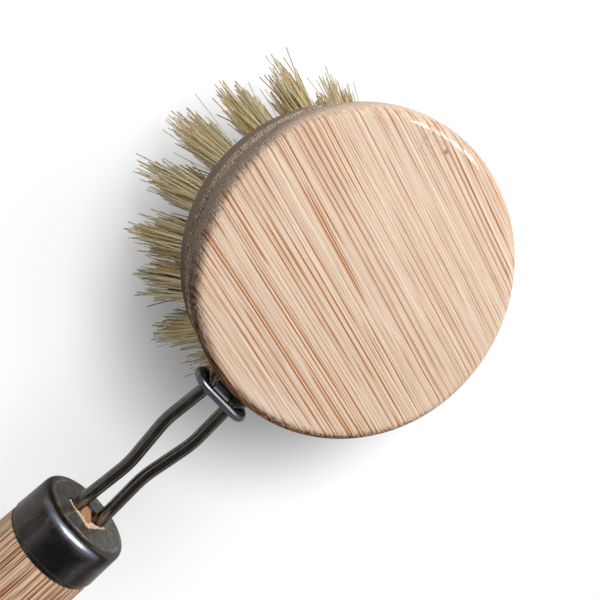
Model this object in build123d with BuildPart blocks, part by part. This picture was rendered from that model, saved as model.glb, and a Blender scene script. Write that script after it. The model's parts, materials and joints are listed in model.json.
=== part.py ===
from build123d import *
import os
from math import acos, atan2, cos, degrees, hypot, radians, sin, sqrt, tan

# Dish brush with a replaceable round head. All sizes are in millimetres.
# The brush is drawn about the middle of its head, in the plane of its wire: x runs away from the handle,
# y across it and z up through the head. That plane leans, so that the brush stands on its bristles and butt.

# Head, a bamboo disc with a V groove round its rim
head_diameter = 55.0
head_thickness = 15.0
head_edge_radius = 2.2
head_foot_radius = 0.6
groove_height = 9.7
groove_mouth = 5.8
groove_depth = 4.4

# Wire, one length bent into a loop, two S-curved legs and two tails
wire_diameter = 2.2
loop_clearance = 0.15
neck_length = 30.45
leg_bend_radius = 16.0
tail_spacing = 4.6
waist_spacing = 3.4
bulge_spacing = 6.3
throat_spacing = 5.2
tail_station_share = 0.955
waist_station_share = 0.66
bulge_station_share = 0.355
throat_station_share = 0.085
throat_bend_radius = 4.5
shoulder_angle = 19.0
shoulder_run = 3.2
shoulder_bend_radius = 4.8
tail_depth = 15.0

# Locking ring, closed, of round bar, tilted on the legs so that its lower side is nearer the head
ring_bar_diameter = 1.5
ring_opening_length = 8.8
ring_clearance = 0.2
ring_stand_off = 1.8
ring_tilt = 15.0

# Ferrule, a pressed metal cup with a square hole, a little wider at the back, where a lip is pressed in
ferrule_diameter = 17.4
ferrule_front_diameter = 17.0
ferrule_length = 7.7
ferrule_lip_length = 0.7
ferrule_lip_inset = 0.4
ferrule_wall = 0.7
ferrule_edge_radius = 1.2
ferrule_crest_radius = 0.3
ferrule_hole_side = 6.2
ferrule_hole_corner = 0.8
ferrule_hole_turn = 45.0

# Handle, a turned bamboo bar with a tenon, a waist and a rounded butt
handle_reach = 206.0
handle_shoulder_diameter = 17.1
handle_belly_diameter = 18.4
handle_butt_diameter = 15.6
handle_belly_share = 0.42
handle_butt_radius = 4.5
tenon_clearance = 0.05
tenon_recess = 0.3
hang_hole_diameter = 5.0
hang_hole_inset = 12.0
hang_hole_rounding = 0.6

# Mortise, open below the tails, and the wedge that spreads them in it
mortise_clearance = 0.05
mortise_height = 4.0
wedge_proud = 0.7

# Tufts, each folded over a flat anchor in a blind hole
tuft_hole_diameter = 4.4
tuft_hole_depth = 6.0
tuft_clearance = 0.03
row_radii = {"outer": 21.0, "middle": 14.0, "inner": 7.0}
row_counts = {"outer": 19, "middle": 13, "inner": 6}
bristle_length = 24.0
splay_reach = 35.5
splay_power_share = 2.0
drilling_share = 0.5
strands_per_tuft = 12
strand_sides = 3
strand_root_radius = 0.3
strand_tip_radius = 0.2
strand_seat = 0.6
strand_spread_share = 0.97
shortest_strand_share = 0.88
length_step = 7
tuft_step = 3
golden_turn = 137.508
foot_cut = 0.5
anchor_width = 4.8
anchor_height = 1.8
anchor_thickness = 0.35

# One length by which every cut runs past what it cuts
overrun = 2.0

# Sizes that follow from these
head_radius = head_diameter / 2
wire_radius = wire_diameter / 2
groove_floor_radius = head_radius - groove_depth
loop_radius = groove_floor_radius + loop_clearance + wire_radius
head_underside = -groove_height
head_top = head_thickness - groove_height
ferrule_face = head_radius + neck_length
ferrule_back = ferrule_face + ferrule_length
tenon_face = ferrule_face + ferrule_wall + tenon_recess
ferrule_bore = ferrule_front_diameter - 2 * ferrule_wall
tenon_diameter = ferrule_bore - 2 * tenon_clearance
tip_plane = groove_height + bristle_length
butt_corner = handle_butt_diameter / 2 - handle_butt_radius


def splayed(x, y):
    """Where a bristle rooted at x, y under the head ends at full length. Roots further out splay more."""
    outward = (hypot(x, y) / outermost_root) ** splay_power_share
    grown = 1 + (splay_reach / outermost_root - 1) * outward
    return x * grown, y * grown


# Places of the tufts: each has a name and the middle of its hole's mouth under the head
strand_spread = (tuft_hole_diameter / 2 - strand_root_radius) * strand_spread_share
outermost_root = row_radii["outer"] + strand_spread
tuft_places = [("tuft_centre", 0.0, 0.0)]
for row, radius in row_radii.items():
    for k in range(row_counts[row]):
        # Half a step puts a tuft on each side of the handle's line, where the brush stands
        bearing = radians(180 + 360 / row_counts[row] * (k + 1 / 2))
        tuft_places.append((f"tuft_{row}_{k + 1:02d}", radius * cos(bearing), radius * sin(bearing)))

# Bristles of each tuft: root on a sunflower spiral in the hole's mouth, and share of the full length
tuft_strands = {}
for place, (name, x, y) in enumerate(tuft_places):
    tuft_strands[name] = []
    for k in range(strands_per_tuft):
        out = strand_spread * sqrt((k + 1 / 2) / strands_per_tuft)
        bearing = radians(golden_turn * (k + place))
        shortened = (k * length_step + place * tuft_step) % strands_per_tuft / strands_per_tuft
        length_share = 1 - (1 - shortest_strand_share) * shortened
        tuft_strands[name].append((x + out * cos(bearing), y + out * sin(bearing), length_share))

# The lean that sets the outer row's full-length bristles and the butt's lower corner on the ground
stand_reach = splayed(row_radii["outer"], 0)[0]
rise = tip_plane - butt_corner
run = handle_reach - handle_butt_radius - stand_reach
lean = degrees(acos((handle_butt_radius + foot_cut) / hypot(rise, run)) - atan2(run, rise))
lean_cos = cos(radians(lean))
lean_sin = sin(radians(lean))
wire_plane_height = stand_reach * lean_sin + tip_plane * lean_cos - foot_cut


# The head's axis stands where it centres the whole brush over the origin
def forward_reach(x, y, length_share):
    """How far a bristle's tip lies in front of the head's axis, along the ground."""
    tip_x = x + (splayed(x, y)[0] - x) * length_share
    return tip_x * lean_cos + (groove_height + bristle_length * length_share) * lean_sin


front_reach = max(forward_reach(*bristle) for fan in tuft_strands.values() for bristle in fan)
back_reach = (handle_reach - handle_butt_radius) * lean_cos + butt_corner * lean_sin + handle_butt_radius
head_place = (back_reach - front_reach) / 2

brush = Plane(
    origin=(head_place, 0, wire_plane_height),
    x_dir=(lean_cos, 0, lean_sin),
    z_dir=(-lean_sin, 0, lean_cos),
)


def spot(x, y, z):
    """A point given in the brush's own plane."""
    return brush.from_local_coords(Vector(x, y, z))


def facing(x, y, z, x_way, z_way):
    """A plane at a point of the brush, with its x and z directions given in the brush's plane."""
    start = spot(x, y, z)
    return Plane(
        origin=start,
        x_dir=spot(x + x_way[0], y + x_way[1], z + x_way[2]) - start,
        z_dir=spot(x + z_way[0], y + z_way[1], z + z_way[2]) - start,
    )


# The plane through the handle's axis and the head's axis, in which round pieces are drawn
middle = facing(0, 0, 0, (1, 0, 0), (0, -1, 0))
handle_axis = Axis(spot(0, 0, 0), brush.x_dir)
head_axis = Axis(spot(0, 0, 0), brush.z_dir)


def save(builder, name):
    """Labels a finished piece and writes it under its own name."""
    builder.part.label = name
    export_step(builder.part, f"parts/{name}.step")
    print(f"{name}: {builder.part.volume:.1f} mm3")


os.makedirs("parts", exist_ok=True)


def hole_plane(x, y):
    """The mouth of a tuft's blind hole, with z pointing into the wood along the hole."""
    tip_x, tip_y = splayed(x, y)
    way = ((x - tip_x) * drilling_share, (y - tip_y) * drilling_share, bristle_length)
    across = (-y, x, 0) if hypot(x, y) > 0 else (0, 1, 0)
    return facing(x, y, head_underside, across, way)


mouths = [hole_plane(x, y) for name, x, y in tuft_places]
anchor_seats = [mouth.offset(tuft_hole_depth - anchor_height) for mouth in mouths]

# Head block
with BuildPart() as head_block:
    with BuildSketch(middle):
        with BuildLine():
            mouth_top = groove_mouth / 2
            floor_half = wire_radius + loop_clearance
            floor_centre = groove_floor_radius + floor_half
            # The groove's flanks run straight from the rim to the round floor that holds the wire
            flank_rise = mouth_top - floor_half
            flank_run = head_radius - floor_centre
            slope = atan2(flank_rise, flank_run)
            touch_x = floor_centre - floor_half * sin(slope)
            touch_z = floor_half * cos(slope)
            foot_start = (head_radius - head_foot_radius, head_underside)
            edge_start = (head_radius, head_top - head_edge_radius)
            Line((0, head_underside), foot_start)
            foot = JernArc(foot_start, tangent=(1, 0), radius=head_foot_radius, arc_size=90)
            Line(foot @ 1, (head_radius, -mouth_top))
            Line((head_radius, -mouth_top), (touch_x, -touch_z))
            ThreePointArc((touch_x, -touch_z), (groove_floor_radius, 0), (touch_x, touch_z))
            Line((touch_x, touch_z), (head_radius, mouth_top))
            Line((head_radius, mouth_top), edge_start)
            edge = JernArc(edge_start, tangent=(0, 1), radius=head_edge_radius, arc_size=90)
            Line(edge @ 1, (0, head_top))
            Line((0, head_top), (0, head_underside))
        make_face()
    revolve(axis=head_axis)
    with BuildSketch(*[mouth.offset(-overrun) for mouth in mouths]):
        Circle(tuft_hole_diameter / 2)
    extrude(amount=tuft_hole_depth + overrun, mode=Mode.SUBTRACT)
    with BuildSketch(*anchor_seats):
        Rectangle(anchor_width, anchor_thickness)
    extrude(amount=anchor_height, mode=Mode.SUBTRACT)
save(head_block, "head_block")

# Anchors, one flat staple across the end of each blind hole
with BuildPart() as tuft_anchors:
    with BuildSketch(*anchor_seats):
        Rectangle(anchor_width, anchor_thickness)
    extrude(amount=anchor_height)
save(tuft_anchors, "tuft_anchors")


def strand(x, y, length_share):
    """One three-sided bristle from a root under the head towards its splayed tip."""
    tip_x, tip_y = splayed(x, y)
    root = spot(x, y, head_underside)
    way = (spot(tip_x, tip_y, head_underside - bristle_length) - root) * length_share
    seat = Plane(origin=root, x_dir=brush.y_dir, z_dir=way)
    with BuildPart(mode=Mode.PRIVATE) as bristle:
        with BuildSketch(seat.offset(-strand_seat)):
            RegularPolygon(radius=strand_root_radius, side_count=strand_sides)
        with BuildSketch(seat.offset(way.length)):
            RegularPolygon(radius=strand_tip_radius, side_count=strand_sides)
        loft(ruled=True)
    return bristle.part


# Tufts, each a plug of packed fibre in its hole and a fan of bristles
for (name, x, y), mouth, seat in zip(tuft_places, mouths, anchor_seats):
    fan = [strand(*bristle) for bristle in tuft_strands[name]]
    with BuildPart() as tuft:
        with BuildSketch(mouth.offset(-overrun)):
            Circle(tuft_hole_diameter / 2 - tuft_clearance)
        extrude(amount=tuft_hole_depth + overrun - tuft_clearance)
        with BuildSketch(seat):
            Rectangle(anchor_width, anchor_thickness)
        extrude(amount=anchor_height, mode=Mode.SUBTRACT)
        split(bisect_by=brush.offset(head_underside), keep=Keep.TOP)
        add(fan)
        # Bristles that would reach below the ground end flat on it
        split(bisect_by=Plane.XY, keep=Keep.TOP)
    save(tuft, name)

# Wire, swept along one leg, the loop and the other leg
leg_stations = [
    (ferrule_face + tail_depth, tail_spacing / 2),
    (head_radius + neck_length * tail_station_share, tail_spacing / 2),
    (head_radius + neck_length * waist_station_share, waist_spacing / 2),
    (head_radius + neck_length * bulge_station_share, bulge_spacing / 2),
    (head_radius + neck_length * throat_station_share, throat_spacing / 2),
]
turn = radians(shoulder_angle)
landing = (loop_radius * cos(turn), loop_radius * sin(turn))
shoulder = (landing[0] + shoulder_run * sin(turn), landing[1] - shoulder_run * cos(turn))
leg_points = [(-x, y) for x, y in leg_stations + [shoulder, landing]]
leg_radii = [leg_bend_radius] * 3 + [throat_bend_radius, shoulder_bend_radius]
with BuildPart() as spring_wire:
    with BuildLine(brush) as run_of_wire:
        FilletPolyline(*leg_points, radius=leg_radii)
        CenterArc((0, 0), loop_radius, 180 - shoulder_angle, 2 * shoulder_angle - 360)
        FilletPolyline(*[(x, -y) for x, y in reversed(leg_points)], radius=leg_radii[::-1])
    with BuildSketch(facing(leg_points[0][0], leg_points[0][1], 0, (0, 1, 0), (1, 0, 0))):
        Circle(wire_radius)
    sweep(path=run_of_wire.wires()[0])
save(spring_wire, "spring_wire")

# Locking ring, over both legs and close to the head's rim
ring_place = -(head_radius + ring_stand_off)
ring_bar_radius = ring_bar_diameter / 2
ring_half_height = (wire_radius + ring_clearance + ring_bar_radius) / cos(radians(ring_tilt))
ring_half_straight = ring_opening_length / 2 + ring_bar_radius - ring_half_height
ring_plane = facing(ring_place, 0, 0, (0, 1, 0), (cos(radians(ring_tilt)), 0, sin(radians(ring_tilt))))
ring_start = ring_plane.from_local_coords(Vector(-ring_half_straight, ring_half_height, 0))
with BuildPart() as locking_ring:
    with BuildLine(ring_plane) as ring_path:
        Line((-ring_half_straight, ring_half_height), (ring_half_straight, ring_half_height))
        ThreePointArc(
            (ring_half_straight, ring_half_height),
            (ring_half_straight + ring_half_height, 0),
            (ring_half_straight, -ring_half_height),
        )
        Line((ring_half_straight, -ring_half_height), (-ring_half_straight, -ring_half_height))
        ThreePointArc(
            (-ring_half_straight, -ring_half_height),
            (-ring_half_straight - ring_half_height, 0),
            (-ring_half_straight, ring_half_height),
        )
    with BuildSketch(Plane(origin=ring_start, z_dir=ring_plane.x_dir)):
        Circle(ring_bar_radius)
    sweep(path=ring_path.wires()[0])
save(locking_ring, "locking_ring")

# Ferrule, a cup pressed over the handle's tenon
with BuildPart() as ferrule:
    with BuildSketch(middle):
        with BuildLine():
            crest_place = -(ferrule_back - ferrule_lip_length)
            crest = (crest_place, ferrule_diameter / 2)
            step = (crest_place, ferrule_diameter / 2 - ferrule_lip_inset)
            mouth = (-ferrule_back, ferrule_bore / 2)
            cup_end = -(ferrule_face + ferrule_wall)
            Polyline((-ferrule_face, 0), (-ferrule_face, ferrule_front_diameter / 2), crest, step)
            Polyline(step, (-ferrule_back, ferrule_diameter / 2 - ferrule_lip_inset), mouth)
            Polyline(mouth, (cup_end, ferrule_bore / 2), (cup_end, 0), (-ferrule_face, 0))
        make_face()
    revolve(axis=handle_axis)
    rims = ferrule.edges().filter_by(GeomType.CIRCLE)
    fillet(rims.sort_by(handle_axis)[-1], radius=ferrule_edge_radius)
    rims = ferrule.edges().filter_by(GeomType.CIRCLE)
    fillet(rims.sort_by(SortBy.RADIUS)[-1], radius=ferrule_crest_radius)
    with BuildSketch(facing(-ferrule_face + overrun, 0, 0, (0, 1, 0), (-1, 0, 0))):
        with Locations(Rotation(0, 0, ferrule_hole_turn)):
            RectangleRounded(ferrule_hole_side, ferrule_hole_side, ferrule_hole_corner)
    extrude(amount=2 * overrun + ferrule_wall, mode=Mode.SUBTRACT)
save(ferrule, "ferrule")

# Handle
mortise_width = tail_spacing + wire_diameter + 2 * mortise_clearance
mortise_middle = wire_radius + mortise_clearance - mortise_height / 2
with BuildPart() as handle:
    with BuildSketch(middle):
        with BuildLine():
            tenon_radius = tenon_diameter / 2
            shoulder_place = -(ferrule_back + tenon_clearance)
            belly_place = -(ferrule_back + (handle_reach - ferrule_back) * handle_belly_share)
            butt_place = -(handle_reach - handle_butt_radius)
            butt_side = (butt_place, handle_butt_diameter / 2)
            Line((-tenon_face, 0), (-tenon_face, tenon_radius))
            Line((-tenon_face, tenon_radius), (shoulder_place, tenon_radius))
            Line((shoulder_place, tenon_radius), (shoulder_place, handle_shoulder_diameter / 2))
            belly = (belly_place, handle_belly_diameter / 2)
            TangentArc(belly, (shoulder_place, handle_shoulder_diameter / 2), tangent=(1, 0))
            TangentArc(belly, butt_side, tangent=(-1, 0))
            butt = JernArc(butt_side, tangent=(-1, 0), radius=handle_butt_radius, arc_size=90)
            Line(butt @ 1, (-handle_reach, 0))
            Line((-handle_reach, 0), (-tenon_face, 0))
        make_face()
    revolve(axis=handle_axis)
    # Mortise for the wire's tails and the wedge
    with BuildSketch(facing(-tenon_face + overrun, 0, mortise_middle, (0, 1, 0), (-1, 0, 0))):
        Rectangle(mortise_width, mortise_height)
    extrude(amount=overrun + tail_depth - (tenon_face - ferrule_face) + mortise_clearance, mode=Mode.SUBTRACT)
    # Hanging hole
    with BuildSketch(brush.offset(-handle_belly_diameter)):
        with Locations((-(handle_reach - hang_hole_inset), 0)):
            Circle(hang_hole_diameter / 2)
    extrude(amount=2 * handle_belly_diameter, mode=Mode.SUBTRACT)
    hole_wall = handle.faces().filter_by(GeomType.CYLINDER).sort_by(handle_axis)[0]
    fillet(hole_wall.edges().filter_by(GeomType.LINE, reverse=True), radius=hang_hole_rounding)
save(handle, "handle")

# Wedge, driven between the tails
wedge_width = tail_spacing - wire_diameter - 2 * mortise_clearance
with BuildPart() as tail_wedge:
    with BuildSketch(facing(-tenon_face + wedge_proud, 0, mortise_middle, (0, 1, 0), (-1, 0, 0))):
        Rectangle(wedge_width, mortise_height - 2 * mortise_clearance)
    extrude(amount=wedge_proud + tail_depth - (tenon_face - ferrule_face))
save(tail_wedge, "tail_wedge")

print(f"lean {lean:.4f} degrees, wire plane {wire_plane_height:.4f} mm high, head at {head_place:.4f} mm")
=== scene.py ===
"""A dish brush: a round bamboo head of plant-fibre tufts, held in a wire loop on a capped bamboo handle."""
import json
import math
import random

import bmesh
import bpy
from mathutils import Euler, Matrix, Vector


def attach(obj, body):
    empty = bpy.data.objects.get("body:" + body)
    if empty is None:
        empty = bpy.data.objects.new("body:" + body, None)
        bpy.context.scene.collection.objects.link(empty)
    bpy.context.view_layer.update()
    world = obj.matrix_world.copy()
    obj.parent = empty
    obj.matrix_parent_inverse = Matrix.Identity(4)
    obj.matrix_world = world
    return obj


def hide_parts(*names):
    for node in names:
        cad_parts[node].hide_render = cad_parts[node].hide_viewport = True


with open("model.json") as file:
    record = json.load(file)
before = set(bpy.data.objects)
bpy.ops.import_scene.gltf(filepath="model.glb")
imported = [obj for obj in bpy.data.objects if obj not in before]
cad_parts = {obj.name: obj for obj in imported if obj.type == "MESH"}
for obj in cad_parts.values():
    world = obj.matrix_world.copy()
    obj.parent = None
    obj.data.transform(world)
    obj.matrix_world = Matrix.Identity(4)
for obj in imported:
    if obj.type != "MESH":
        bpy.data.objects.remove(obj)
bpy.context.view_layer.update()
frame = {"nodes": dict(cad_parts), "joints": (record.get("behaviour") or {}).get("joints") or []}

# Camera. The brush leans on its bristles and its butt, and its own axes come from its joints: the head turns
# about the brush's up axis, and the ring slides along its legs. The photograph was taken from above the head,
# from little more than a hand's breadth.
mm = 0.001
joints = {joint["name"]: joint for joint in frame["joints"]}
brush_up = Vector(joints["head_spin"]["axis"])
brush_forward = -Vector(joints["ring_slide"]["axis"])
brush = Matrix((brush_forward, brush_up.cross(brush_forward), brush_up)).transposed().to_4x4()
brush.translation = Vector(joints["head_spin"]["pos_m"])
camera_place = Vector((-14.45, 43.47, 106.45)) * mm
camera_turn = Euler([math.radians(angle) for angle in (-14.255, -15.464, -39.335)])
camera = bpy.data.objects.new("camera", bpy.data.cameras.new("camera"))
camera.data.lens = 42.0
camera.data.sensor_width = 36.0
camera.data.clip_start = 5 * mm
camera.matrix_world = brush @ Matrix.Translation(camera_place) @ camera_turn.to_matrix().to_4x4()
bpy.context.scene.collection.objects.link(camera)
bpy.context.scene.camera = camera


# Handle, turned from laminated bamboo, with a tenon under the metal cap and a hanging hole through the butt.
# The carried-over solid has the turned shape. Its grain runs along the handle in orange-brown and dark lines,
# and its finish is satin.
def add_node(tree, kind, feeds=None, **settings):
    """Adds a node with its settings. In feeds, a socket is linked to its input and a value is typed in."""
    node = tree.nodes.new(kind)
    for name, value in settings.items():
        setattr(node, name, value)
    for name, value in (feeds or {}).items():
        if isinstance(value, bpy.types.NodeSocket):
            tree.links.new(value, node.inputs[name])
        else:
            node.inputs[name].default_value = value
    return node


def mix_colours(tree, share, under, over, blend="MIX"):
    """The under colour, covered by the over colour by the given share."""
    mixer = add_node(tree, "ShaderNodeMix", data_type="RGBA", blend_type=blend, clamp_factor=True)
    for socket, value in zip((mixer.inputs[0], mixer.inputs[6], mixer.inputs[7]), (share, under, over)):
        if isinstance(value, bpy.types.NodeSocket):
            tree.links.new(value, socket)
        else:
            socket.default_value = value
    return mixer.outputs[2]


def stretch(tree, value, low, high, to_low=0.0, to_high=1.0):
    """Spreads the values between low and high over a new range, held at both ends."""
    feeds = {"Value": value, "From Min": low, "From Max": high, "To Min": to_low, "To Max": to_high}
    return add_node(tree, "ShaderNodeMapRange", feeds, interpolation_type="SMOOTHSTEP").outputs["Result"]


def calculate(tree, operation, first, second=0.0):
    """One step of arithmetic on two sockets or numbers."""
    return add_node(tree, "ShaderNodeMath", {0: first, 1: second}, operation=operation).outputs[0]


def measure(tree, operation, first, second=(0.0, 0.0, 0.0)):
    """A length, a distance or a dot product of two vectors, as one number."""
    return add_node(tree, "ShaderNodeVectorMath", {0: first, 1: second}, operation=operation).outputs["Value"]


def noise(tree, vector, along, across, detail=1.0, roughness=0.5, start=0.0):
    """A noise value whose spots are as long and as wide as the two lengths, in the units of the vector."""
    spots = add_node(tree, "ShaderNodeMapping", {
        "Vector": vector,
        "Location": (start, start, start),
        "Scale": (1 / along, 1 / across, 1 / across),
    })
    feeds = {"Vector": spots.outputs["Vector"], "Scale": 1.0, "Detail": detail, "Roughness": roughness}
    return add_node(tree, "ShaderNodeTexNoise", feeds).outputs["Fac"]


def new_group(name, inputs, outputs):
    """An empty shader group with named sockets: its tree, its input node and its output node."""
    tree = bpy.data.node_groups.new(name, "ShaderNodeTree")
    for label, kind, value in inputs:
        socket = tree.interface.new_socket(label, in_out="INPUT", socket_type=kind)
        if value is not None:
            socket.default_value = value
    for label, kind in outputs:
        tree.interface.new_socket(label, in_out="OUTPUT", socket_type=kind)
    return tree, add_node(tree, "NodeGroupInput").outputs, add_node(tree, "NodeGroupOutput").inputs


def rgb(red, green, blue):
    """A colour as it shows on screen, from 0 to 255, turned into the linear values that a shader takes."""
    shares = [value / 255 for value in (red, green, blue)]
    return [v / 12.92 if v <= 0.04045 else ((v + 0.055) / 1.055) ** 2.4 for v in shares] + [1.0]


def new_material(name, **values):
    """A material with its Principled shader, whose plain values are typed into its sockets."""
    material = bpy.data.materials.new(name)
    material.use_nodes = True
    shader = material.node_tree.nodes["Principled BSDF"]
    for label, value in values.items():
        shader.inputs[label.replace("_", " ")].default_value = value
    return material, material.node_tree, shader


def brush_place(tree, turn=0.0):
    """Object coordinates in the brush's own axes, in millimetres, turned about its up axis."""
    return add_node(tree, "ShaderNodeMapping", {
        "Vector": add_node(tree, "ShaderNodeTexCoord").outputs["Object"],
        "Location": brush.translation,
        "Rotation": (brush.to_3x3() @ Matrix.Rotation(turn, 3, "Z")).to_euler(),
        "Scale": (mm, mm, mm),
    }, vector_type="TEXTURE").outputs["Vector"]


def dress(node_name, material):
    """Gives a carried-over solid its material."""
    slots = frame["nodes"][node_name].data.materials
    slots.clear()
    slots.append(material)


grain, inside, out = new_group("bamboo_grain", [
    ("Vector", "NodeSocketVector", None),
    ("Wood", "NodeSocketColor", rgb(239, 210, 183)),
    ("Pale", "NodeSocketColor", rgb(248, 224, 200)),
    ("Streak", "NodeSocketColor", rgb(190, 124, 70)),
    ("Vein", "NodeSocketColor", rgb(180, 126, 98)),
    ("Dash", "NodeSocketColor", rgb(112, 72, 54)),
    ("Streak Amount", "NodeSocketFloat", 1.0),
    ("Vein Amount", "NodeSocketFloat", 0.35),
    ("Dash Amount", "NodeSocketFloat", 0.3),
], [("Color", "NodeSocketColor"), ("Height", "NodeSocketFloat")])
fibres_along = inside["Vector"]
broad = stretch(grain, noise(grain, fibres_along, along=70, across=3.6, start=3.0), 0.34, 0.66)
# Each layer of lines is a row of cells across the grain, with a line along the middle of each cell
bend = calculate(grain, "MULTIPLY", noise(grain, fibres_along, along=60, across=6.0, start=13.0), 1.5)
level = calculate(grain, "ADD", measure(grain, "DOT_PRODUCT", fibres_along, (0.0, 1.0, 0.3)), bend)


def grain_lines(spacing, width, length, start):
    """Thin parallel lines along the grain, at uneven distances, which taper and stop here and there."""
    feeds = {"W": calculate(grain, "DIVIDE", level, spacing), "Scale": 1.0, "Randomness": 0.65}
    cells = add_node(grain, "ShaderNodeTexVoronoi", feeds, voronoi_dimensions="1D").outputs["Distance"]
    reach = noise(grain, fibres_along, along=length, across=spacing * 1.6, start=start)
    reach = stretch(grain, reach, 0.34, 0.54, -0.01, width / spacing / 2)
    return stretch(grain, calculate(grain, "SUBTRACT", cells, reach), -0.03, 0.04, 1.0, 0.0)


broken = stretch(grain, noise(grain, fibres_along, along=7, across=0.7, start=43.0), 0.3, 0.6, 0.65, 1.0)
bold_lines = grain_lines(spacing=0.98, width=0.27, length=26, start=29.0)
faint_lines = calculate(grain, "MULTIPLY", grain_lines(spacing=0.57, width=0.12, length=14, start=37.0), 0.65)
streaks = calculate(grain, "MAXIMUM", bold_lines, faint_lines)
strength = calculate(grain, "MULTIPLY", inside["Streak Amount"], stretch(grain, broad, 0.0, 1.0, 0.7, 1.0))
strength = calculate(grain, "MULTIPLY", strength, broken)
streaks = calculate(grain, "MULTIPLY", streaks, strength)
veins = stretch(grain, noise(grain, fibres_along, along=26, across=0.2, start=7.0), 0.6, 0.7)
veins = calculate(grain, "MULTIPLY", veins, inside["Vein Amount"])
pales = stretch(grain, noise(grain, fibres_along, along=40, across=0.3, start=11.0), 0.5, 0.7)
dashes = stretch(grain, noise(grain, fibres_along, along=6, across=0.14, start=17.0), 0.63, 0.73)
dashes = calculate(grain, "MULTIPLY", dashes, inside["Dash Amount"])
fine = noise(grain, fibres_along, along=9, across=0.13, detail=2.0, roughness=0.6, start=23.0)
colour = mix_colours(grain, pales, inside["Wood"], inside["Pale"])
colour = mix_colours(grain, veins, colour, inside["Vein"])
colour = mix_colours(grain, streaks, colour, inside["Streak"])
colour = mix_colours(grain, dashes, colour, inside["Dash"])
fine_shade = add_node(grain, "ShaderNodeCombineColor", {
    channel: stretch(grain, fine, 0.25, 0.75, low, high) for channel, low, high in (
        ("Red", 0.92, 1.03), ("Green", 0.9, 1.04), ("Blue", 0.88, 1.05))}).outputs["Color"]
grain.links.new(mix_colours(grain, 1.0, colour, fine_shade, "MULTIPLY"), out["Color"])
raised = calculate(grain, "ADD", calculate(grain, "MULTIPLY", streaks, -0.7), pales)
grain.links.new(calculate(grain, "ADD", raised, fine), out["Height"])


def add_wood(tree, shader, vector, fineness, bump_strength, bump_height, **values):
    """Places the grain group in a wood material, with its own values, and feeds the bump from it."""
    feeds = {0: vector, 1: (1.0, fineness, fineness)}
    grain_place = add_node(tree, "ShaderNodeVectorMath", feeds, operation="MULTIPLY").outputs["Vector"]
    wood = add_node(tree, "ShaderNodeGroup", {"Vector": grain_place}, node_tree=grain)
    for label, value in values.items():
        wood.inputs[label.replace("_", " ")].default_value = value
    feeds = {"Strength": bump_strength, "Distance": bump_height, "Height": wood.outputs["Height"]}
    tree.links.new(add_node(tree, "ShaderNodeBump", feeds).outputs["Normal"], shader.inputs["Normal"])
    return wood


handle_wood, tree, shader = new_material("handle_bamboo", Roughness=0.5)
# The lines lie all round the handle, so their place is taken along its girth
axes = add_node(tree, "ShaderNodeSeparateXYZ", {0: brush_place(tree)}).outputs
handle_radius = 8.0
girth = calculate(tree, "MULTIPLY", calculate(tree, "ARCTAN2", axes["Y"], axes["Z"]), handle_radius)
girth_place = add_node(tree, "ShaderNodeCombineXYZ", {"X": axes["X"], "Y": girth}).outputs["Vector"]
wood = add_wood(tree, shader, girth_place, fineness=1.05, bump_strength=0.6, bump_height=0.06 * mm,
                Wood=rgb(238, 200, 164), Pale=rgb(250, 222, 190), Streak=rgb(158, 88, 44),
                Vein=rgb(112, 68, 44), Dash=rgb(60, 38, 26),
                Streak_Amount=1.8, Vein_Amount=1.3, Dash_Amount=1.1)
tree.links.new(wood.outputs["Color"], shader.inputs["Base Color"])
dress("handle", handle_wood)

# Ferrule, a cup pressed from steel and blackened, with a square hole punched in its front for the wire. Its
# front is satin and scratched, with a band pressed in beside the hole. Its side is polished almost black.
wear, inside, out = new_group("metal_wear", [
    ("Vector", "NodeSocketVector", None),
    ("Smooth", "NodeSocketFloat", 0.15),
    ("Worn", "NodeSocketFloat", 0.4),
], [("Roughness", "NodeSocketFloat"), ("Height", "NodeSocketFloat"), ("Scratches", "NodeSocketFloat")])
clouds = noise(wear, inside["Vector"], along=3.0, across=3.0, detail=3.0, roughness=0.6)
clouds = stretch(wear, clouds, 0.4, 0.7)
peel = noise(wear, inside["Vector"], along=0.35, across=0.35, detail=2.0, roughness=0.6, start=5.0)
lines = stretch(wear, noise(wear, inside["Vector"], along=4.0, across=0.14, start=9.0), 0.64, 0.72)
pits = stretch(wear, noise(wear, inside["Vector"], along=0.25, across=0.25, start=13.0), 0.68, 0.76)
scratches = calculate(wear, "MAXIMUM", calculate(wear, "MULTIPLY", lines, clouds), pits)
feeds = {"Value": clouds, "To Min": inside["Smooth"], "To Max": inside["Worn"]}
wear.links.new(add_node(wear, "ShaderNodeMapRange", feeds).outputs["Result"], out["Roughness"])
wear.links.new(calculate(wear, "SUBTRACT", calculate(wear, "MULTIPLY", peel, 0.5), scratches), out["Height"])
wear.links.new(scratches, out["Scratches"])


def new_metal(name, smooth, worn, bump_strength):
    """A metal with roughness, dents and scratches from the wear group. Its colour is linked later."""
    material, tree, shader = new_material(name, Metallic=1.0)
    group = add_node(tree, "ShaderNodeGroup", {"Vector": brush_place(tree)}, node_tree=wear)
    group.inputs["Smooth"].default_value = smooth
    group.inputs["Worn"].default_value = worn
    tree.links.new(group.outputs["Roughness"], shader.inputs["Roughness"])
    feeds = {"Strength": bump_strength, "Distance": 0.03 * mm, "Height": group.outputs["Height"]}
    bump = add_node(tree, "ShaderNodeBump", feeds)
    tree.links.new(bump.outputs["Normal"], shader.inputs["Normal"])
    return material, tree, shader, group, bump


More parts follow.
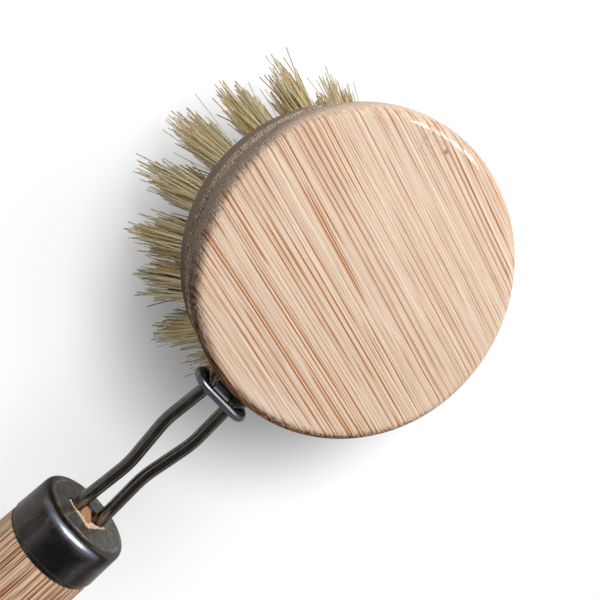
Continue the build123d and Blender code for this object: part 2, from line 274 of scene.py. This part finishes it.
ferrule_face = 57.95
face_radius = 7.3
highlight_start = 0.8
highlight_end = 1.9
band_start = -2.85
band_end = 1.25
band_edge = 0.35
band_depth = 0.16 * mm
ridge_width = 0.5
bend_length = 3.0
bend_depth = 1.7 * mm
gunmetal, tree, shader, group, bump = new_metal("gunmetal", smooth=0.2, worn=0.3, bump_strength=0.15)
place = brush_place(tree)
axes = add_node(tree, "ShaderNodeSeparateXYZ", {0: place}).outputs
front = stretch(tree, axes["X"], -ferrule_face - 0.12, -ferrule_face - 0.02)
mottled = noise(tree, place, along=1.8, across=1.3, detail=2.0, roughness=0.6, start=51.0)
mottled = stretch(tree, mottled, 0.36, 0.64)
satin = mix_colours(tree, mottled, rgb(142, 138, 132), rgb(178, 172, 165))
body = mix_colours(tree, front, rgb(94, 87, 83), satin)
# Painted highlight: the upper side just behind the front edge is coloured bright and bluish
outward = add_node(tree, "ShaderNodeTexCoord").outputs["Normal"]
upper = measure(tree, "DOT_PRODUCT", outward, brush.to_3x3() @ Vector((0.0, 0.36, 0.93)))
painted_highlight = stretch(tree, axes["X"], -ferrule_face - highlight_end, -ferrule_face - highlight_start)
painted_highlight = calculate(tree, "MULTIPLY", painted_highlight, stretch(tree, upper, 0.6, 0.92))
feeds = {0: place, 1: (0.0, 1.0, 1.0)}
flat_place = add_node(tree, "ShaderNodeVectorMath", feeds, operation="MULTIPLY").outputs["Vector"]
from_middle = measure(tree, "LENGTH", flat_place)
painted_highlight = calculate(tree, "MULTIPLY", painted_highlight, stretch(tree, from_middle, face_radius - 0.3, face_radius + 0.2))
painted_highlight = calculate(tree, "MULTIPLY", painted_highlight, calculate(tree, "SUBTRACT", 1.0, front))
body = mix_colours(tree, painted_highlight, body, rgb(166, 170, 184))
nicks = stretch(tree, noise(tree, place, along=0.5, across=0.16, start=71.0), 0.7, 0.76)
nicks = calculate(tree, "MULTIPLY", nicks, calculate(tree, "MULTIPLY", front, 0.8))
worn = calculate(tree, "MULTIPLY", group.outputs["Scratches"], stretch(tree, front, 0.0, 1.0, 0.35, 1.0))
worn = calculate(tree, "MAXIMUM", worn, nicks)
tree.links.new(mix_colours(tree, worn, body, rgb(215, 210, 202)), shader.inputs["Base Color"])
rough = calculate(tree, "MULTIPLY", calculate(tree, "ADD", front, painted_highlight), 0.12)
rough = calculate(tree, "ADD", group.outputs["Roughness"], rough)
tree.links.new(rough, shader.inputs["Roughness"])
# The pressed band crosses the face between two lines, above the hole, and a fine ridge runs round the face
across_band = measure(tree, "DOT_PRODUCT", place, (0.0, 0.86, -0.5))
band = calculate(tree, "MULTIPLY", stretch(tree, across_band, band_start, band_start + band_edge),
                 stretch(tree, across_band, band_end - band_edge, band_end, 1.0, 0.0))
band = calculate(tree, "MULTIPLY", band, stretch(tree, axes["Z"], 0.6, 1.2))
ridge_start = face_radius - ridge_width
ridge = calculate(tree, "MULTIPLY", stretch(tree, from_middle, ridge_start, ridge_start + 0.2),
                  stretch(tree, from_middle, face_radius - 0.2, face_radius, 1.0, 0.0))
relief = calculate(tree, "MULTIPLY", calculate(tree, "SUBTRACT", ridge, band), front)
pressed = add_node(tree, "ShaderNodeBump", {
    "Strength": 0.9,
    "Distance": band_depth,
    "Height": relief,
    "Normal": bump.outputs["Normal"],
})
# The side curves in gently before the tight bend at the front
rounded = add_node(tree, "ShaderNodeBump", {
    "Strength": 1.0,
    "Distance": bend_depth,
    "Height": stretch(tree, axes["X"], -ferrule_face - bend_length, -ferrule_face + bend_length, 1.0, 0.0),
    "Normal": pressed.outputs["Normal"],
})
tree.links.new(rounded.outputs["Normal"], shader.inputs["Normal"])
dress("ferrule", gunmetal)

# Wedge and torn wood in the ferrule's hole. The wedge is a sliver of wood driven between the wire's tails,
# and the handle's end grain has burst up along the hole's upper edges, where the wire went in.
raw_wood, tree, shader = new_material("pale_wood", Roughness=0.75)
wood = add_wood(tree, shader, brush_place(tree), fineness=1.5, bump_strength=0.5, bump_height=0.08 * mm,
                Wood=rgb(252, 226, 192), Pale=rgb(255, 240, 216), Streak=rgb(206, 152, 106),
                Vein=rgb(180, 128, 90), Dash=rgb(96, 62, 42), Dash_Amount=0.5)
tree.links.new(wood.outputs["Color"], shader.inputs["Base Color"])
wedge_wood, tree, shader = new_material("wedge_wood", Roughness=0.6)
wood = add_wood(tree, shader, brush_place(tree), fineness=1.5, bump_strength=0.3, bump_height=0.05 * mm,
                Wood=rgb(204, 152, 108), Pale=rgb(226, 184, 144), Streak=rgb(160, 104, 64),
                Vein=rgb(140, 92, 60), Dash=rgb(84, 54, 36), Dash_Amount=0.6)
tree.links.new(wood.outputs["Color"], shader.inputs["Base Color"])
dress("tail_wedge", wedge_wood)
# The torn strip follows both upper edges of the hole, from one side corner to the other, and keeps clear of
# the wire. It is a grid, bent over the hole's top corner and frayed at its inner edge.
hole_corner = 4.05 * mm
top_blunting = 0.03 * mm
strip_share = 0.99
strip_overlap = 0.075
strip_steps = 72
strip_width = 1.3 * mm
narrowest = 0.25 * mm
wire_gap = 2.3 * mm
wire_room = 1.12 * mm
standing_out = 0.12 * mm
roughness_height = 0.14 * mm
inner_fall = 0.1 * mm
splinter_depth = 0.95 * mm
slope = 0.707
torn = bmesh.new()
bmesh.ops.create_grid(torn, x_segments=strip_steps, y_segments=5, size=1.0)
chance = random.Random(5)
raggedness = [chance.uniform(0.7, 1.1) for step in range(strip_steps + 1)]
for vert in torn.verts:
    along = vert.co.x * strip_share
    inward = (vert.co.y + 1) / 2
    step = round((vert.co.x + 1) * strip_steps / 2)
    edge_z = min(hole_corner - top_blunting, (1 + strip_overlap) * hole_corner - abs(along) * hole_corner)
    wire_clear = math.hypot(abs(along) * hole_corner - wire_gap, edge_z) - wire_room
    width = min(strip_width, max(narrowest, wire_clear)) * raggedness[step]
    turned = max(-1.0, min(1.0, along * 6)) * slope
    sunk = inner_fall * inward + chance.uniform(0, roughness_height) * (0.2 + inward) - standing_out
    vert.co = Vector((-ferrule_face * mm - sunk,
                      along * hole_corner - turned * width * inward,
                      edge_z - slope * width * inward))
grown = bmesh.ops.extrude_face_region(torn, geom=torn.faces[:])["geom"]
bmesh.ops.translate(torn, verts=[part for part in grown if isinstance(part, bmesh.types.BMVert)],
                    vec=(-splinter_depth, 0, 0))
bmesh.ops.recalc_face_normals(torn, faces=torn.faces)
bmesh.ops.transform(torn, matrix=brush, verts=torn.verts)
torn_mesh = bpy.data.meshes.new("torn_wood")
torn.to_mesh(torn_mesh)
torn.free()
torn_wood = bpy.data.objects.new("torn_wood", torn_mesh)
torn_wood.data.materials.append(raw_wood)
bpy.context.scene.collection.objects.link(torn_wood)
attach(torn_wood, "root")

# Spring wire, one length of dark polished steel: two tails in the handle, two S-curved legs and the loop
# that grips the head in its groove. Drawing has left long fine lines on it.
dark_wire, tree, shader, group, bump = new_metal("dark_wire", smooth=0.07, worn=0.18, bump_strength=0.3)
drawn = stretch(tree, noise(tree, brush_place(tree), along=5.0, across=0.12, start=31.0), 0.6, 0.72)
body = mix_colours(tree, drawn, rgb(124, 116, 106), rgb(182, 174, 164))
tree.links.new(body, shader.inputs["Base Color"])
tree.links.new(calculate(tree, "ADD", group.outputs["Roughness"], calculate(tree, "MULTIPLY", drawn, 0.15)),
               shader.inputs["Roughness"])
dress("spring_wire", dark_wire)

# Locking ring, a closed oval bent from round steel bar and polished. It slides on the legs and jams them shut
# at the head.
ring_steel, tree, shader, group, bump = new_metal("ring_steel", smooth=0.33, worn=0.42, bump_strength=0.03)
tree.links.new(mix_colours(tree, group.outputs["Scratches"], rgb(128, 126, 132), rgb(180, 178, 182)),
               shader.inputs["Base Color"])
dress("locking_ring", ring_steel)

# Head block, turned from bamboo board, with a groove all round its rim for the wire, and a face rounded over
# and waxed. The grain crosses the face in long orange-brown lines, and shows as specks where the rim cuts it.
head_wood, tree, shader = new_material(
    "head_bamboo", Roughness=0.6, Specular_IOR_Level=0.25, Coat_Roughness=0.07)
grain_turn = math.radians(81.1)
grain_way = brush.to_3x3() @ Vector((math.cos(grain_turn), math.sin(grain_turn), 0))
turned_place = brush_place(tree, grain_turn)
wood = add_wood(tree, shader, turned_place, fineness=1.0, bump_strength=0.45, bump_height=0.05 * mm)
across_grain = add_node(tree, "ShaderNodeSeparateXYZ", {0: turned_place}).outputs["Y"]
outward = add_node(tree, "ShaderNodeTexCoord").outputs["Normal"]
facing = calculate(tree, "ABSOLUTE", measure(tree, "DOT_PRODUCT", outward, grain_way))
place = brush_place(tree)
axes = add_node(tree, "ShaderNodeSeparateXYZ", {0: place}).outputs
wall_top = 2.2
rounding_start = 3.6
face_side = stretch(tree, axes["Z"], wall_top, rounding_start)
shown_lines = calculate(tree, "MULTIPLY", stretch(tree, facing, 0.35, 0.7, 1.0, 0.0), face_side)
tree.links.new(calculate(tree, "MULTIPLY", shown_lines, stretch(tree, across_grain, -18.0, 20.0, 1.0, 1.5)),
               wood.inputs["Streak Amount"])
# Painted shade: the edge on the side away from the lamps is darkened to a speckled grey
specks = stretch(tree, noise(tree, turned_place, along=0.9, across=0.17, start=41.0), 0.35, 0.65)
shade_way = Vector((-0.375, 0.927, 0.0))
shade_start = 21.5
shade_end = 26.0
toward_shade = measure(tree, "DOT_PRODUCT", place, shade_way)
painted_rim_shade = calculate(tree, "ADD", measure(tree, "DOT_PRODUCT", outward, brush.to_3x3() @ shade_way),
                      stretch(tree, toward_shade, shade_start, shade_end, 0.0, 0.32))
speckled = calculate(tree, "MULTIPLY", specks, 0.18)
painted_rim_shade = stretch(tree, calculate(tree, "ADD", painted_rim_shade, speckled), 0.2, 1.05)
shade_grey = mix_colours(tree, specks, rgb(180, 178, 178), rgb(138, 136, 138))
colour = mix_colours(tree, painted_rim_shade, wood.outputs["Color"], shade_grey, "MULTIPLY")
# Painted shade: the edge on the handle's side, facing away from the lamps, is darkened brown in streaks
strokes = stretch(tree, noise(tree, turned_place, along=7.0, across=0.24, start=61.0), 0.4, 0.62)
handle_way = brush.to_3x3() @ Vector((-0.93, -0.37, 0.0))
painted_edge_shade = stretch(tree, calculate(tree, "ADD", measure(tree, "DOT_PRODUCT", outward, handle_way),
                                  calculate(tree, "MULTIPLY", strokes, 0.2)), 0.22, 0.75)
brown = mix_colours(tree, strokes, rgb(206, 172, 134), rgb(112, 92, 66))
colour = mix_colours(tree, painted_edge_shade, colour, brown, "MULTIPLY")
# The wall below the rounded edge is darker and greyer all round
darker_wall = mix_colours(tree, 1.0, colour, rgb(220, 213, 204), "MULTIPLY")
colour = mix_colours(tree, face_side, darker_wall, colour)
# Painted light: the groove's upward-facing lower side is made pale, with darker notches
up_share = measure(tree, "DOT_PRODUCT", outward, brush_up)
below_middle = stretch(tree, axes["Z"], -0.5, -0.2, 1.0, 0.0)
painted_lip_light = calculate(tree, "MULTIPLY", stretch(tree, up_share, 0.2, 0.7), below_middle)
lip_light_colour = mix_colours(tree, specks, rgb(222, 204, 176), rgb(138, 114, 88))
colour = mix_colours(tree, painted_lip_light, colour, lip_light_colour)
# A small knot near the front of the face, and the spotted wood beside it
face_height = 5.3
from_knot = measure(tree, "DISTANCE", place, (22.6, 7.3, face_height))
knot = stretch(tree, from_knot, 0.2, 0.58, 0.75, 0.0)
spots = noise(tree, place, along=0.6, across=0.6, detail=2.0, roughness=0.7, start=47.0)
spots = stretch(tree, spots, 0.46, 0.66)
from_spots = measure(tree, "DISTANCE", place, (21.6, 10.2, face_height))
near_knot = stretch(tree, from_spots, 1.0, 3.6, 0.34, 0.0)
spots = calculate(tree, "MULTIPLY", spots, near_knot)
colour = mix_colours(tree, calculate(tree, "MAXIMUM", knot, spots), colour, rgb(150, 98, 74))
tree.links.new(colour, shader.inputs["Base Color"])
polish = stretch(tree, noise(tree, turned_place, along=6.0, across=0.45, start=53.0), 0.36, 0.54, 0.2, 0.95)
# The wax is left only along the front of the rounded edge, on the side away from the hand
wax_right = stretch(tree, axes["Y"], 1.0, 5.0)
wax_left = stretch(tree, axes["Y"], 14.0, 18.0, 1.0, 0.0)
wax_front = stretch(tree, axes["X"], 10.0, 20.0)
waxed = calculate(tree, "MULTIPLY", calculate(tree, "MULTIPLY", wax_right, wax_left), wax_front)
tree.links.new(calculate(tree, "MULTIPLY", polish, waxed), shader.inputs["Coat Weight"])
dress("head_block", head_wood)

# Anchors, flat pieces cut from steel strip. One is driven into the end of each blind hole, across the fold of
# its tuft.
anchor_steel, tree, shader, group, bump = new_metal("anchor_steel", smooth=0.3, worn=0.5, bump_strength=0.2)
tree.links.new(mix_colours(tree, group.outputs["Scratches"], rgb(190, 190, 190), rgb(220, 220, 220)),
               shader.inputs["Base Color"])
dress("tuft_anchors", anchor_steel)

# Tufts of stiff pale plant fibre, each folded over its anchor in a blind hole. The outer rows splay with
# use, their ends are cut at uneven lengths, and a few fibres have sprung out of line.
head_underside = -9.7 * mm
root_spread = 1.843 * mm
row_radii = {"outer": 21 * mm, "middle": 14 * mm, "inner": 7 * mm}
row_counts = {"outer": 19, "middle": 13, "inner": 6}
anchor_depth = 0.6 * mm
bristle_length = 24 * mm
splay_reach = 35.5 * mm
outermost_root = row_radii["outer"] + root_spread
fibres_per_tuft = 280
fibre_radius = 0.15 * mm
fibre_rings = 4
fibre_taper = 0.3
fibre_bow = 0.3 * mm
outward_bow = 0.7 * mm
tip_scatter = 0.5 * mm
stray_scatter = 2.6 * mm
stray_share = 0.07
uneven_cut = 0.26
locks_per_tuft = 9
lock_scatter = 0.8 * mm
tuft_scatter = 0.5 * mm
tuft_opening = 1.35
golden_turn = math.radians(137.508)

fibre_shape = bmesh.new()
bmesh.ops.create_circle(fibre_shape, cap_ends=True, segments=4, radius=1.0)
end = fibre_shape.faces[:]
for ring_number in range(fibre_rings):
    grown = bmesh.ops.extrude_face_region(fibre_shape, geom=end)["geom"]
    end = [part for part in grown if isinstance(part, bmesh.types.BMFace)]
    corners = [part for part in grown if isinstance(part, bmesh.types.BMVert)]
    bmesh.ops.translate(fibre_shape, verts=corners, vec=(0, 0, 1 / fibre_rings))
fibre_mesh = bpy.data.meshes.new("fibre")
bmesh.ops.recalc_face_normals(fibre_shape, faces=fibre_shape.faces)
fibre_shape.to_mesh(fibre_mesh)
fibre_shape.free()

fibre_material, tree, shader = new_material("plant_fibre", Roughness=0.4)
tone = add_node(tree, "ShaderNodeAttribute", attribute_name="tone").outputs["Fac"]
along = add_node(tree, "ShaderNodeAttribute", attribute_name="along").outputs["Fac"]
ramp = add_node(tree, "ShaderNodeValToRGB", {"Fac": tone})
ramp.color_ramp.elements[0].color = rgb(150, 98, 48)
ramp.color_ramp.elements[1].color = rgb(255, 249, 218)
for position, shade in ((0.15, rgb(208, 152, 80)), (0.3, rgb(250, 208, 130)), (0.55, rgb(255, 236, 178))):
    ramp.color_ramp.elements.new(position).color = shade
root_shade = stretch(tree, along, 0.0, 0.35, 0.3, 0.0)
fibre_colour = mix_colours(tree, root_shade, ramp.outputs["Color"], rgb(170, 140, 84))
tree.links.new(fibre_colour, shader.inputs["Base Color"])


def splayed(x, y, splay_share):
    """Where a fibre rooted at x, y under the head ends at full length. Roots further out splay more."""
    outward = (math.hypot(x, y) / outermost_root) ** 2
    grown = 1 + (splay_reach / outermost_root - 1) * outward * splay_share
    return Vector((x * grown, y * grown, 0))


def make_tuft(name, x, y, splay_share, chance):
    """One tuft as a single mesh of many bent and tapered fibres, which hang together in locks."""
    tuft = bmesh.new()
    tone_layer = tuft.verts.layers.float.new("tone")
    along_layer = tuft.verts.layers.float.new("along")
    tuft_lean = Vector((chance.gauss(0, tuft_scatter), chance.gauss(0, tuft_scatter), 0))
    locks = [(Vector((chance.gauss(0, lock_scatter), chance.gauss(0, lock_scatter), 0)),
              chance.uniform(0.88, 1.0), chance.uniform(-0.15, 0.15)) for lock in range(locks_per_tuft)]
    outward = Vector((x, y, 0)) / row_radii["outer"]
    for number in range(fibres_per_tuft):
        out_share = math.sqrt((number + 0.5) / fibres_per_tuft)
        bearing = golden_turn * number + chance.uniform(-0.2, 0.2)
        off_centre = root_spread * out_share
        root = Vector((x + off_centre * math.cos(bearing), y + off_centre * math.sin(bearing), 0))
        lock = int(bearing / (2 * math.pi) * locks_per_tuft) % locks_per_tuft
        lock_way, lock_length, lock_tone = locks[lock]
        scatter = stray_scatter if chance.random() < stray_share else tip_scatter
        tip = splayed(root.x, root.y, splay_share) * tuft_opening
        tip -= splayed(x, y, splay_share) * (tuft_opening - 1)
        tip += tuft_lean + lock_way + Vector((chance.gauss(0, scatter), chance.gauss(0, scatter), 0))
        length = lock_length * (1 - uneven_cut * chance.random() ** 2.2)
        root.z = head_underside + anchor_depth
        tip.z = head_underside - bristle_length
        run = (tip - root) * length
        side = run.orthogonal().normalized()
        other = run.cross(side).normalized()
        bow = side * chance.gauss(0, fibre_bow) + other * chance.gauss(0, fibre_bow) - outward * outward_bow
        thickness = fibre_radius * chance.uniform(0.75, 1.25)
        turn = chance.uniform(0, math.pi)
        tone_value = min(1.0, max(0.0, chance.gauss(0.62, 0.27) + lock_tone))
        start = len(tuft.verts)
        tuft.from_mesh(fibre_mesh)
        tuft.verts.ensure_lookup_table()
        for vert in tuft.verts[start:]:
            share = vert.co.z
            width = thickness * (1 - fibre_taper * share)
            angle = math.atan2(vert.co.y, vert.co.x) + turn
            ring_way = side * math.cos(angle) + other * math.sin(angle)
            vert.co = brush @ (root + run * share + bow * 4 * share * (1 - share) + ring_way * width)
            vert[tone_layer] = tone_value
            vert[along_layer] = share
    mesh = bpy.data.meshes.new(name)
    tuft.to_mesh(mesh)
    tuft.free()
    mesh.shade_smooth()
    piece = bpy.data.objects.new(name, mesh)
    piece.data.materials.append(fibre_material)
    bpy.context.scene.collection.objects.link(piece)
    return piece


# Three tufts at the front have kept straighter than the rest
straight_tufts = {"outer_10": 0.8, "outer_11": 0.7, "outer_12": 0.9}
tuft_places = [("centre", 0.0, 0.0)]
for row, radius in row_radii.items():
    for k in range(row_counts[row]):
        bearing = math.pi + 2 * math.pi / row_counts[row] * (k + 0.5)
        tuft_places.append((f"{row}_{k + 1:02d}", radius * math.cos(bearing), radius * math.sin(bearing)))
for number, (name, x, y) in enumerate(tuft_places):
    tuft_fibres = make_tuft(f"fibres_{name}", x, y, straight_tufts.get(name, 1.0), random.Random(number))
    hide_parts(f"tuft_{name}")
    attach(tuft_fibres, "head")

# Floor, a sheet of pale paper that curves up far behind the brush on every side. It shows white where no
# shadow falls, but the metal mirrors it as pale grey, and it throws back less light than it shows.
floor_radius = 2.0
sweep_radius = 0.5
wall_height = 0.4
sweep_steps = 8
floor_shape = bmesh.new()
bmesh.ops.create_circle(floor_shape, cap_ends=True, segments=96, radius=floor_radius)
rim = floor_shape.edges[:]
reach, level = floor_radius, 0.0
for step in range(sweep_steps + 1):
    angle = math.pi / 2 * min(1.0, (step + 1) / sweep_steps)
    new_reach = floor_radius + sweep_radius * math.sin(angle)
    new_level = sweep_radius * (1 - math.cos(angle)) + (wall_height if step == sweep_steps else 0.0)
    grown = bmesh.ops.extrude_edge_only(floor_shape, edges=rim)["geom"]
    rim = [part for part in grown if isinstance(part, bmesh.types.BMEdge)]
    corners = [part for part in grown if isinstance(part, bmesh.types.BMVert)]
    bmesh.ops.scale(floor_shape, verts=corners, vec=(new_reach / reach, new_reach / reach, 1))
    bmesh.ops.translate(floor_shape, verts=corners, vec=(0, 0, new_level - level))
    reach, level = new_reach, new_level
floor_mesh = bpy.data.meshes.new("floor")
floor_shape.to_mesh(floor_mesh)
floor_shape.free()
floor_mesh.shade_smooth()
floor = bpy.data.objects.new("floor", floor_mesh)
bpy.context.scene.collection.objects.link(floor)
floor_paper, tree, shader = new_material("floor_paper", Roughness=0.9)
path = add_node(tree, "ShaderNodeLightPath")
seen = calculate(tree, "MAXIMUM", path.outputs["Is Camera Ray"], path.outputs["Is Transmission Ray"])
# Painted shadow: the floor's glow and colour darken softly below the head and, more faintly, below the metal
# cap
head_foot = Vector((brush.translation.x - 4.7 * mm, -8.5 * mm, 0))
head_shade_start = 23 * mm
head_shade_end = 48.8 * mm
cap_foot = Vector((brush.translation.x - 59 * mm, -9.5 * mm, 0))
cap_shade_end = 36.8 * mm
floor_place = add_node(tree, "ShaderNodeTexCoord").outputs["Object"]
from_head = measure(tree, "DISTANCE", floor_place, head_foot)
head_shade = stretch(tree, from_head, head_shade_start, head_shade_end, 0.242, 0.842)
from_cap = measure(tree, "DISTANCE", floor_place, cap_foot)
cap_shade = stretch(tree, from_cap, 0.0, cap_shade_end, 0.8, 1.0)
glow_with_painted_shade = calculate(tree, "MULTIPLY", head_shade, cap_shade)
shown = mix_colours(tree, glow_with_painted_shade, (0.1, 0.1, 0.1, 1), (0.195, 0.195, 0.195, 1))
mirrored = mix_colours(tree, path.outputs["Is Glossy Ray"], rgb(232, 231, 228), rgb(212, 211, 208))
tree.links.new(mix_colours(tree, seen, mirrored, shown), shader.inputs["Base Color"])
shader.inputs["Emission Color"].default_value = (1, 1, 1, 1)
tree.links.new(calculate(tree, "MULTIPLY", seen, glow_with_painted_shade), shader.inputs["Emission Strength"])
floor.data.materials.append(floor_paper)

# Light. Two round windows stand high in front of the head, in a room with pale walls and a dark ceiling. So
# the metal stays dark with bright edges, and the wood's rounded edge falls into shade on the handle's side.
for name, way, distance, width, power in (("window", (0.62, -0.205, 0.757), 0.42, 0.14, 0.85),
                                          ("far_window", (0.62, 0.25, 0.745), 0.5, 0.17, 1.2)):
    lamp = bpy.data.objects.new(name, bpy.data.lights.new(name, "AREA"))
    lamp.data.shape = "DISK"
    lamp.data.size = width
    lamp.data.energy = power
    lamp.data.color = (0.96, 0.98, 1.0)
    lamp_place = brush @ (Vector(way) * distance)
    lamp_turn = (lamp_place - brush.translation).to_track_quat("Z", "Y")
    lamp.matrix_world = Matrix.Translation(lamp_place) @ lamp_turn.to_matrix().to_4x4()
    bpy.context.scene.collection.objects.link(lamp)

# A wide patch of open sky beside the windows gives the metal its soft highlights
sky_way = brush.to_3x3() @ Vector((0.68, -0.45, 0.55)).normalized()
walls = (0.6, 0.62, 0.66, 1)
ceiling = (0.075, 0.08, 0.09, 1)
open_sky = (0.55, 0.57, 0.62, 1)
world = bpy.data.worlds.new("room")
bpy.context.scene.world = world
world.use_nodes = True
tree = world.node_tree
around = add_node(tree, "ShaderNodeTexCoord").outputs["Generated"]
height = measure(tree, "DOT_PRODUCT", around, (0.0, 0.0, 1.0))
room = mix_colours(tree, stretch(tree, height, 0.3, 0.75), walls, ceiling)
toward_sky = measure(tree, "DOT_PRODUCT", around, sky_way)
room = mix_colours(tree, stretch(tree, toward_sky, 0.55, 0.95), room, open_sky)
tree.links.new(room, tree.nodes["Background"].inputs["Color"])

bpy.context.scene.view_settings.view_transform = "Standard"
